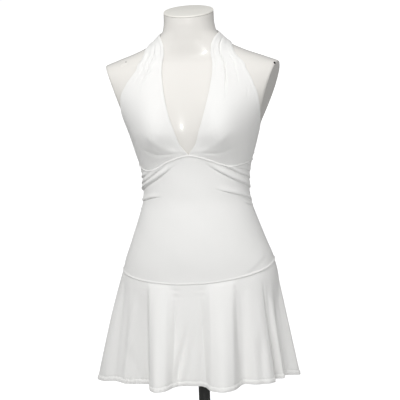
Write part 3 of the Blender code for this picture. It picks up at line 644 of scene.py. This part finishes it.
# Halter
# Two cups of doubled jersey. Each is sewn along the underbust seam and gathered up into a strap
# that lies against the neck and meets the other at a seam on the nape.
Station = namedtuple("Station", "along inner_turn inner_height outer_turn outer_height")
HALTER = [
    Station(0.00, 0.25, 0.6430, 96.7, 0.6240),
    Station(0.04, 2.6, 0.6510, 96.7, 0.6368),
    Station(0.10, 7.8, 0.6700, 92.0, 0.6630),
    Station(0.17, 10.5, 0.6920, 84.0, 0.6950),
    Station(0.24, 13.2, 0.7200, 70.5, 0.7180),
    Station(0.31, 14.2, 0.7450, 59.0, 0.7410),
    Station(0.38, 14.6, 0.7720, 49.5, 0.7680),
    Station(0.45, 14.8, 0.8000, 41.5, 0.7940),
    Station(0.52, 15.8, 0.8250, 37.2, 0.8190),
    Station(0.60, 20.5, 0.8480, 42.5, 0.8430),
    Station(0.68, 37.0, 0.8745, 61.0, 0.8620),
    Station(0.76, 63.0, 0.8915, 88.0, 0.8720),
    Station(0.84, 96.0, 0.8985, 117.0, 0.8730),
    Station(0.92, 138.0, 0.9040, 150.0, 0.8740),
    Station(1.00, 179.6, 0.9065, 179.6, 0.8750),
]
DIP_FADE = 0.30
NARROWED = 4.5
NARROWED_AT = 0.55
NARROWED_SPREAD = 0.08
HALTER_LENGTH = 0.45
HALTER_WIDTH = 0.12
TAUT_ROWS = 110
CUP_CLEAR = 0.0020
STRAP_CLOTH = 0.0026
# Creases run from a start to an end place, along the halter and across it from the neckline.
# A negative rise is a groove.
Crease = namedtuple("Crease", "side start start_across end end_across rise spread")
CREASES = [
    Crease(1, 0.82, 0.44, 0.30, 0.29, -0.0026, 0.0012),
    Crease(1, 0.80, 0.53, 0.36, 0.36, 0.0010, 0.0036),
    Crease(1, 0.76, 0.36, 0.44, 0.23, 0.0009, 0.0030),
    Crease(1, 0.66, 0.74, 0.41, 0.60, -0.0012, 0.0016),
    Crease(1, 0.66, 0.84, 0.44, 0.70, 0.0008, 0.0035),
    Crease(1, 0.68, 0.16, 0.48, 0.12, -0.0010, 0.0016),
    Crease(1, 0.42, 0.80, 0.34, 0.72, -0.0006, 0.0020),
    Crease(-1, 0.74, 0.36, 0.38, 0.50, 0.0022, 0.0026),
    Crease(-1, 0.72, 0.46, 0.42, 0.57, -0.0011, 0.0020),
    Crease(-1, 0.70, 0.60, 0.44, 0.64, 0.0015, 0.0026),
    Crease(-1, 0.68, 0.78, 0.42, 0.74, -0.0010, 0.0020),
    Crease(-1, 0.66, 0.88, 0.46, 0.84, 0.0010, 0.0030),
    Crease(-1, 0.74, 0.18, 0.52, 0.20, -0.0009, 0.0020),
    Crease(1, 0.02, 0.03, 0.20, 0.40, 0.0014, 0.0070),
    Crease(-1, 0.02, 0.03, 0.20, 0.38, 0.0016, 0.0070),
    Crease(1, 0.03, 0.10, 0.13, 0.52, -0.0010, 0.0060),
    Crease(-1, 0.03, 0.10, 0.13, 0.50, -0.0010, 0.0060),
]
# Pleats lie side by side where the strap is gathered round the neck.
Pleat = namedtuple("Pleat", "across rise spread")
PLEATS = [
    Pleat(0.10, 0.0003, 0.060),
    Pleat(0.27, 0.0006, 0.065),
    Pleat(0.45, 0.0005, 0.055),
    Pleat(0.60, 0.0007, 0.065),
    Pleat(0.79, 0.0005, 0.060),
    Pleat(0.93, 0.0003, 0.045),
]


def halter_crease(side, along, across, width):
    total = np.zeros(np.broadcast(along, across).shape)
    for crease in CREASES:
        if crease.side != side:
            continue
        share = (along - crease.start) / (crease.end - crease.start)
        line = mix(crease.start_across, crease.end_across, share)
        fade = ease(share / 0.3) * ease((1 - share) / 0.35)
        total += crease.rise * fade * np.exp(-0.5 * ((across - line) * width / crease.spread) ** 2)
    for pleat in PLEATS:
        shift = pleat.across + 0.010 * side * np.sin(5 * along + 20 * pleat.across)
        depth = pleat.rise * ease((along - 0.48 - 0.10 * math.sin(31 * pleat.across)) / 0.30)
        total += depth * np.exp(-0.5 * ((across - shift) / pleat.spread) ** 2)
    return total


def taut(middle, rows):
    """Cloth that spans the hollow under the bust instead of following it, column by column."""
    centre = np.array([AXIS.x, AXIS.y])
    reach = np.linalg.norm(middle[..., :2] - centre, axis=-1)
    kernel = np.exp(-0.5 * (np.arange(-9, 10) / 4.0) ** 2)
    kernel = kernel / kernel.sum()
    for j in range(middle.shape[1]):
        kept = []
        for i in range(rows):
            while len(kept) > 1:
                a, b = kept[-2], kept[-1]
                rise = (reach[b, j] - reach[a, j]) * (middle[i, j, 2] - middle[a, j, 2])
                if rise > (reach[i, j] - reach[a, j]) * (middle[b, j, 2] - middle[a, j, 2]):
                    break
                kept.pop()
            kept.append(i)
        heights = middle[:rows, j, 2]
        spanned = np.interp(heights, heights[kept], reach[kept, j])
        lift = np.maximum(spanned - reach[:rows, j], 0.0) * ease((rows - 1 - np.arange(rows)) / 20)
        lift = np.convolve(np.pad(lift, 9, mode="edge"), kernel, mode="valid")
        outward = (middle[:rows, j, :2] - centre) / reach[:rows, j, None]
        middle[:rows, j, :2] += outward * (lift * ease(np.arange(rows) / 12))[:, None]
    return middle


def halter_panel(name, side):
    along = edge_steps(HALTER_LENGTH, 250)[:, None] / HALTER_LENGTH
    across = edge_steps(HALTER_WIDTH, 84)[None, :] / HALTER_WIDTH
    inner_turn, outer_turn = (read(HALTER, c, along) for c in ("inner_turn", "outer_turn"))
    inner_height, outer_height = (read(HALTER, c, along) for c in ("inner_height", "outer_height"))
    if side < 0:
        pull = np.exp(-0.5 * ((along - NARROWED_AT) / NARROWED_SPREAD) ** 2)
        outer_turn = outer_turn - NARROWED * pull
    turn = mix(inner_turn, outer_turn, across)
    height = mix(inner_height, outer_height, across)
    dip = 1 - ease(along / DIP_FADE)
    straight = mix(HALTER[0].inner_height, HALTER[0].outer_height, across)
    seam = underbust_height(side * turn)
    height = height + dip * (seam - straight) + SEAM_GAP / 2
    inner_edge = figure_point(inner_turn, inner_height)
    outer_edge = figure_point(outer_turn, outer_height)
    width = np.linalg.norm(inner_edge - outer_edge, axis=-1) * 1.15
    over_bust = np.sin(np.pi * np.minimum(along / 0.42, 1)) * np.sin(np.pi * across)
    full = mix(CLOTH, STRAP_CLOTH, ease((along - 0.5) / 0.3))
    from_edge = np.minimum(across, 1 - across) * width
    turned_edge = 0.00035 * (1 - ease((from_edge - 0.0065) / 0.0008))
    from_bust = height - seam
    thin_edge = mix(0.55, 1.0, ease(from_edge / 0.007))
    full = mix(full, full * thin_edge, ease((along - 0.5) / 0.1))
    thick = full * rounded(from_edge) * rounded((1 - along) * HALTER_LENGTH) * rounded(from_bust, 0.0003)
    rise = halter_crease(side, along, across, width)
    rise = rise * ease(np.minimum(from_edge, 0.003) / 0.003)
    rise = rise + turned_edge
    clear = mix(CLEAR, 0.0003, ease((along - 0.5) / 0.2))
    out = mix(clear, CUP_CLEAR, over_bust) + full / 2 + rise
    middle = taut(off_figure(side * turn, height, out), TAUT_ROWS)
    if side < 0:
        middle, thick = middle[:, ::-1], thick[:, ::-1]
        width_uv = (across * width)[:, ::-1]
    else:
        width_uv = across * width
    return cloth_wall(name, middle[::-1], thick[::-1], width_uv[::-1], (along * HALTER_LENGTH)[::-1])


halter_left = halter_panel("halter_left_cup", 1)
halter_right = halter_panel("halter_right_cup", -1)
for cup, node in ((halter_left, "halter_left"), (halter_right, "halter_right")):
    cloth_piece(cup, node)

# Flounce
# Front and back are circular cuts whose inside edge is sewn to the hip seam. The spare length at
# the hem falls in waves, deepest under the front hips. The hem is turned up and coverstitched.
HEM_HEIGHT = 0.150
HEM_CLOTH = 0.0026
HEM_DEPTH = 0.011
HEM_WIDTH = 0.9
FLOUNCE_CLEAR = 0.0022
FLOUNCE_SEAM = 95.0
CREST_POWER = 0.90
TROUGH_POWER = 1.20
Wave = namedtuple("Wave", "turn reach drift drop")
WAVES = [
    Wave(-176, 0.058, 0.000, 0.003),
    Wave(-161, 0.028, 0.000, 0.000),
    Wave(-146, 0.060, 0.000, 0.003),
    Wave(-131, 0.026, 0.000, 0.000),
    Wave(-116, 0.056, 0.000, 0.003),
    Wave(-101, 0.038, 0.000, 0.001),
    Wave(-85, 0.068, 0.000, 0.004),
    Wave(-74, 0.056, 0.002, 0.003),
    Wave(-66, 0.038, 0.004, 0.000),
    Wave(-57, 0.037, 0.006, 0.001),
    Wave(-49, 0.020, 0.008, 0.002),
    Wave(-42, 0.012, 0.014, 0.002),
    Wave(-37, 0.035, 0.022, 0.002),
    Wave(-33, 0.064, 0.028, 0.004),
    Wave(-27, 0.075, 0.022, 0.005),
    Wave(-21, 0.066, 0.016, 0.004),
    Wave(-17, 0.045, 0.009, 0.002),
    Wave(-12, 0.022, 0.003, 0.001),
    Wave(-4, 0.021, 0.000, 0.001),
    Wave(4, 0.019, 0.000, 0.001),
    Wave(9, 0.038, -0.002, 0.002),
    Wave(13, 0.062, -0.004, 0.004),
    Wave(21, 0.076, -0.009, 0.005),
    Wave(28, 0.066, -0.013, 0.004),
    Wave(33, 0.040, -0.012, 0.002),
    Wave(37, 0.026, -0.008, 0.000),
    Wave(43, 0.038, -0.003, 0.001),
    Wave(50, 0.040, 0.000, 0.002),
    Wave(57, 0.034, 0.000, 0.002),
    Wave(63, 0.014, 0.000, 0.000),
    Wave(70, 0.026, 0.000, 0.000),
    Wave(78, 0.010, 0.000, 0.000),
    Wave(84, 0.024, 0.000, 0.000),
    Wave(92, 0.048, 0.000, 0.003),
    Wave(111, 0.026, 0.000, 0.000),
    Wave(127, 0.054, 0.000, 0.003),
    Wave(143, 0.026, 0.000, 0.000),
    Wave(159, 0.058, 0.000, 0.003),
    Wave(171, 0.030, 0.000, 0.000),
    Wave(184, 0.058, 0.000, 0.003),
]
# Soft folds that don't run straight down, from a turn at the top to a turn at the bottom.
Drape = namedtuple("Drape", "top_share top_turn bottom_share bottom_turn rise spread")
DRAPES = [
    Drape(0.30, -2.0, 1.04, -17.5, -0.0075, 1.9),
    Drape(0.40, -7.5, 1.10, -17.5, 0.0045, 1.9),
    Drape(0.30, 2.0, 1.02, -6.5, -0.0045, 2.4),
    Drape(0.02, -13.0, 1.02, -17.5, -0.0045, 1.0),
    Drape(0.60, -58.0, 1.04, -43.5, -0.0022, 2.6),
    Drape(0.02, 5.5, 1.02, 9.0, -0.0050, 1.2),
    Drape(0.02, -37.0, 1.02, -41.5, -0.0040, 1.3),
    Drape(0.05, 30.0, 1.02, 35.0, -0.0030, 1.6),
    Drape(0.02, 57.0, 1.02, 63.0, -0.0060, 1.3),
    Drape(0.15, 66.0, 1.02, 70.0, 0.0030, 2.0),
    Drape(0.10, -58.0, 1.02, -60.0, -0.0035, 3.4),
    Drape(0.45, 49.0, 1.02, 47.0, -0.0040, 2.2),
    Drape(0.10, -80.0, 0.80, -78.0, 0.0022, 3.0),
    Drape(0.05, -50.0, 0.60, -53.0, 0.0020, 2.4),
    Drape(0.10, 140.0, 0.90, 146.0, 0.0030, 3.0),
    Drape(0.10, -140.0, 0.90, -134.0, 0.0030, 3.0),
]
# Short level creases where a wave starts under the seam. Down is measured from the seam.
Pinch = namedtuple("Pinch", "turn down depth half_width half_height")
PINCHES = [
    Pinch(-13.0, 0.014, 0.0012, 2.4, 0.0016),
    Pinch(-12.5, 0.028, 0.0015, 2.6, 0.0018),
    Pinch(5.0, 0.014, 0.0013, 2.2, 0.0016),
    Pinch(6.5, 0.027, 0.0010, 2.4, 0.0018),
    Pinch(34.0, 0.020, 0.0005, 3.0, 0.0020),
    Pinch(-41.0, 0.022, 0.0005, 2.6, 0.0020),
    Pinch(118.0, 0.020, 0.0006, 3.0, 0.0020),
    Pinch(-150.0 + 360, 0.022, 0.0006, 3.0, 0.0020),
]


def wave_at(turn, column):
    first = WAVES[0].turn
    return read(WAVES, column, (np.asarray(turn, float) - first) % 360 + first)


def flounce_point(turn, share):
    """Points of the flounce's middle surface, share being 0 at the hip seam and 1 at the hem."""
    turn, share = np.broadcast_arrays(turn, share)
    seam = hip_seam_height(turn) - SEAM_GAP / 2
    start = off_figure(turn, seam, np.full(turn.shape, CLEAR + CLOTH / 2), 0.0)
    out = start - figure_point(turn, seam)
    out[..., 2] = 0
    out = unit(out)
    along = np.stack([-out[..., 1], out[..., 0], np.zeros(turn.shape)], axis=-1)
    height = mix(seam, HEM_HEIGHT - wave_at(turn, "drop"), share)
    reach = wave_at(turn, "reach")
    power = mix(TROUGH_POWER, CREST_POWER, ease((reach - 0.022) / 0.040))
    resting = figure_point(turn, np.maximum(height, FORM_BOTTOM)) - start
    resting = (resting * out).sum(axis=-1) + FLOUNCE_CLEAR
    blend = 0.004 * ease(share / 0.1) + 1e-5
    free = -soft_least(-reach * share ** power, -resting, blend)
    for drape in DRAPES:
        part = (share - drape.top_share) / (drape.bottom_share - drape.top_share)
        line = mix(drape.top_turn, drape.bottom_turn, part)
        away = (turn - line + 180) % 360 - 180
        fade = ease(part / 0.5) * ease((1.25 - part) / 0.3)
        free = free + drape.rise * fade * np.exp(-0.5 * (away / drape.spread) ** 2)
    moved = (free * ease(share / 0.03))[..., None] * out
    point = start + moved + (wave_at(turn, "drift") * share)[..., None] * along
    point[..., 2] = height
    return point


STITCH_ROWS = (0.0088, 0.0112)
STITCH_PITCH = 0.0032
STITCH_LENGTH = 0.0024
STITCH_RADIUS = 0.00042
STITCH_SIDES = 6
SEWN_IN = 0.0011
SEWN_IN_AT = 0.0102
SEWN_IN_SPREAD = 0.0013
SWELL = 0.0007
SWELL_AT = 0.0055
SWELL_SPREAD = 0.0024
PUCKER = 0.0007
PUCKER_AT = 0.007
PUCKER_SPREAD = 0.005


def stitches(name, lines):
    """Rows of separate thread stitches, each a short capsule sunk by half into the cloth."""
    points, faces = [], []
    stations = ((-0.5, 0.35), (-0.4, 0.85), (0.0, 1.0), (0.4, 0.85), (0.5, 0.35))
    for line, normals in lines:
        gone = np.concatenate([[0], np.cumsum(np.linalg.norm(np.diff(line, axis=0), axis=-1))])
        for centre in np.arange(0.004, gone[-1] - 0.004, STITCH_PITCH):
            first = len(points)
            for along, radius in stations:
                here = centre + along * STITCH_LENGTH
                at = np.array([np.interp(here, gone, line[:, k]) for k in range(3)])
                ahead = np.array([np.interp(here + 0.0004, gone, line[:, k]) for k in range(3)])
                out = unit(np.array([np.interp(here, gone, normals[:, k]) for k in range(3)]))
                beside = unit(np.cross(unit(ahead - at), out))
                for k in range(STITCH_SIDES):
                    angle = 2 * math.pi * k / STITCH_SIDES
                    ray = math.cos(angle) * out + math.sin(angle) * beside
                    points.append((at + ray * radius * STITCH_RADIUS).tolist())
            for i in range(len(stations) - 1):
                for k in range(STITCH_SIDES):
                    a, b = first + i * STITCH_SIDES + k, first + i * STITCH_SIDES + (k + 1) % STITCH_SIDES
                    faces.append((a, a + STITCH_SIDES, b + STITCH_SIDES, b))
            faces.append(tuple(range(first, first + STITCH_SIDES)))
            last = first + (len(stations) - 1) * STITCH_SIDES
            faces.append(tuple(reversed(range(last, last + STITCH_SIDES))))
    return mesh_object(name, points, faces, 70)


def flounce_panel(name, start, end, columns, rows):
    turns = start + (end - start) * edge_steps(HEM_WIDTH, columns) / HEM_WIDTH
    upper = np.linspace(0.0012, 0.922, rows)
    lower = np.linspace(0.925, 0.998, 26)
    shares = np.concatenate([[0.0], upper, lower, [0.9992, 1.0]])
    turn, share = turns[None, :], shares[:, None]
    middle = flounce_point(turn, share)
    lengths = np.linalg.norm(np.diff(middle, axis=0), axis=-1)
    down = np.concatenate([np.zeros((1, middle.shape[1])), np.cumsum(lengths, axis=0)])
    from_hem = down[-1:] - down
    hem = 1 - ease((from_hem - HEM_DEPTH) / 0.0006)
    from_side = np.minimum(turns - turns[0], turns[-1] - turns)[None, :] * HEM_DEGREE
    thick = mix(CLOTH, HEM_CLOTH, hem) * rounded(down, 0.0003) * rounded(from_hem)
    thick = thick * rounded(from_side, 0.0004)
    right = np.gradient(middle, axis=1)
    fall = np.gradient(middle, axis=0)
    normal = unit(np.cross(fall, right))
    pucker_fade = 1.3 * np.exp(-0.5 * ((turn + 58) / 14) ** 2) + 0.3
    pucker = PUCKER * pucker_fade * np.sin(turn * 3.1 + 2 * np.sin(turn * 0.7))
    near_hem = ridge(from_hem, PUCKER_AT, PUCKER_SPREAD, 1.0)
    sewn_in = -ridge(from_hem, SEWN_IN_AT, SEWN_IN_SPREAD, SEWN_IN)
    sewn_in = sewn_in + ridge(from_hem, SWELL_AT, SWELL_SPREAD, SWELL)
    pinched = np.zeros(middle.shape[:2])
    for pinch in PINCHES:
        beside = np.exp(-0.5 * ((turn - pinch.turn) / pinch.half_width) ** 2)
        step = (down - pinch.down) / pinch.half_height
        pinched = pinched - pinch.depth * beside * np.exp(-0.5 * step ** 2) * (0.5 - step)
    middle = middle + normal * (pucker * near_hem + sewn_in + pinched)[..., None]
    lap = np.cumsum(np.linalg.norm(np.diff(middle[-1], axis=0), axis=-1))
    lap = np.concatenate([[0], lap])[None, :]
    panel = cloth_wall(name, middle, thick, lap, down)
    rows_at = np.arange(len(shares))
    lines = []
    for distance in STITCH_ROWS:
        at = [np.interp(-distance, -from_hem[:, j], rows_at) for j in range(len(turns))]
        low = np.floor(at).astype(int)
        part = (np.array(at) - low)[:, None]
        column = np.arange(len(turns))
        surface = middle + normal * (thick / 2)[..., None]
        lines.append((mix(surface[low, column], surface[low + 1, column], part), normal[low, column]))
    return panel, stitches(name + "_coverstitch", lines)


flounce_front, front_stitches = flounce_panel(
    "flounce_front_panel", -FLOUNCE_SEAM + 0.1, FLOUNCE_SEAM - 0.1, 430, 66
)
flounce_back, back_stitches = flounce_panel(
    "flounce_back_panel", FLOUNCE_SEAM + 0.1, 360 - FLOUNCE_SEAM - 0.1, 300, 44
)
cloth_piece(flounce_front, "flounce_front")
cloth_piece(flounce_back, "flounce_back")

# Hem thread
# White polyester thread in two rows of coverstitch, a little glossier than the cloth.
thread = bpy.data.materials.new("white_polyester_thread")
thread.use_nodes = True
nodes, links = thread.node_tree.nodes, thread.node_tree.links
shader = nodes["Principled BSDF"]
shader.inputs["Base Color"].default_value = (0.90, 0.90, 0.885, 1)
place = nodes.new("ShaderNodeTexCoord")
twist = nodes.new("ShaderNodeTexWave")
twist.bands_direction = "DIAGONAL"
twist.inputs["Scale"].default_value = 900
links.new(place.outputs["Object"], twist.inputs["Vector"])
lustre = nodes.new("ShaderNodeMapRange")
lustre.inputs["To Min"].default_value = 0.38
lustre.inputs["To Max"].default_value = 0.55
links.new(twist.outputs["Fac"], lustre.inputs["Value"])
links.new(lustre.outputs["Result"], shader.inputs["Roughness"])
for stitch_rows in (front_stitches, back_stitches):
    stitch_rows.data.materials.append(thread)
    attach(stitch_rows, "root")

# Stand
# A round steel base, a socket with a set screw, a steel tube, and a flanged collar that is
# screwed under the form. All are painted in one dark satin paint.
paint = bpy.data.materials.new("dark_satin_paint")
paint.use_nodes = True
nodes, links = paint.node_tree.nodes, paint.node_tree.links
shader = nodes["Principled BSDF"]
shader.inputs["Base Color"].default_value = (0.042, 0.042, 0.040, 1)
shader.inputs["Metallic"].default_value = 0.0
place = nodes.new("ShaderNodeTexCoord")
grit = nodes.new("ShaderNodeTexNoise")
grit.inputs["Scale"].default_value = 260
links.new(place.outputs["Object"], grit.inputs["Vector"])
satin = nodes.new("ShaderNodeMapRange")
satin.inputs["To Min"].default_value = 0.34
satin.inputs["To Max"].default_value = 0.48
links.new(grit.outputs["Fac"], satin.inputs["Value"])
links.new(satin.outputs["Result"], shader.inputs["Roughness"])
grit_bump = nodes.new("ShaderNodeBump")
grit_bump.inputs["Strength"].default_value = 0.2
grit_bump.inputs["Distance"].default_value = 0.0002
links.new(grit.outputs["Fac"], grit_bump.inputs["Height"])
links.new(grit_bump.outputs["Normal"], shader.inputs["Normal"])


for node in ("stand_pole", "stand_collar", "stand_socket", "stand_base"):
    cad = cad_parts[node]
    cad.data.materials.clear()
    cad.data.materials.append(paint)

# Floor and light
# A plain white floor, a bright pale surround, and large soft lamps in front and above.
# The spark is a small lamp that lights only glossy highlights.
bpy.ops.object.select_all(action="DESELECT")
bpy.ops.mesh.primitive_circle_add(vertices=96, radius=60, fill_type="NGON", location=(0, 0, -0.0002))
floor = bpy.context.object
floor.name = "floor"
floor_paint = bpy.data.materials.new("white_floor")
floor_paint.use_nodes = True
nodes, links = floor_paint.node_tree.nodes, floor_paint.node_tree.links
shader = nodes["Principled BSDF"]
shader.inputs["Base Color"].default_value = (0.5, 0.5, 0.5, 1)
shader.inputs["Roughness"].default_value = 0.9
shader.inputs["Specular IOR Level"].default_value = 0.0
shader.inputs["Emission Color"].default_value = (1, 1, 1, 1)
rays = nodes.new("ShaderNodeLightPath")
links.new(rays.outputs["Is Camera Ray"], shader.inputs["Emission Strength"])
floor.data.materials.append(floor_paint)

world = bpy.data.worlds.new("studio")
bpy.context.scene.world = world
world.use_nodes = True
nodes, links = world.node_tree.nodes, world.node_tree.links
background = nodes["Background"]
rays = nodes.new("ShaderNodeLightPath")
strength = nodes.new("ShaderNodeMapRange")
strength.inputs["To Min"].default_value = 0.36
strength.inputs["To Max"].default_value = 1.05
links.new(rays.outputs["Is Camera Ray"], strength.inputs["Value"])
links.new(strength.outputs["Result"], background.inputs["Strength"])
background.inputs["Color"].default_value = (1, 1, 1, 1)


def lamp(name, place, target, size, power):
    data = bpy.data.lights.new(name, "AREA")
    data.shape = "RECTANGLE"
    data.size, data.size_y = size
    data.energy = power
    item = bpy.data.objects.new(name, data)
    bpy.context.scene.collection.objects.link(item)
    item.location = place
    aim = Vector(target) - Vector(place)
    item.rotation_euler = aim.to_track_quat("-Z", "Y").to_euler()
    return item


key = lamp("key", (-0.45, -1.7, 2.3), (0, 0, 0.72), (0.9, 0.7), 30)
fill = lamp("fill", (0.5, -2.7, 1.2), (0, 0, 0.70), (1.4, 1.0), 10)
left_wall = lamp("left_wall", (-2.2, -1.2, 1.0), (0, 0, 0.65), (1.2, 1.4), 5)
right_wall = lamp("right_wall", (2.2, -1.4, 1.0), (0, 0, 0.65), (1.2, 1.4), 12)
for soft in (key, fill, left_wall, right_wall):
    soft.visible_glossy = False
spark = lamp("spark", (0.46, -2.90, 0.95), (0.0, -0.09, 0.74), (0.42, 0.20), 13)
spark.visible_diffuse = False

bpy.context.scene.view_settings.view_transform = "Standard"
bpy.context.scene.view_settings.look = "None"
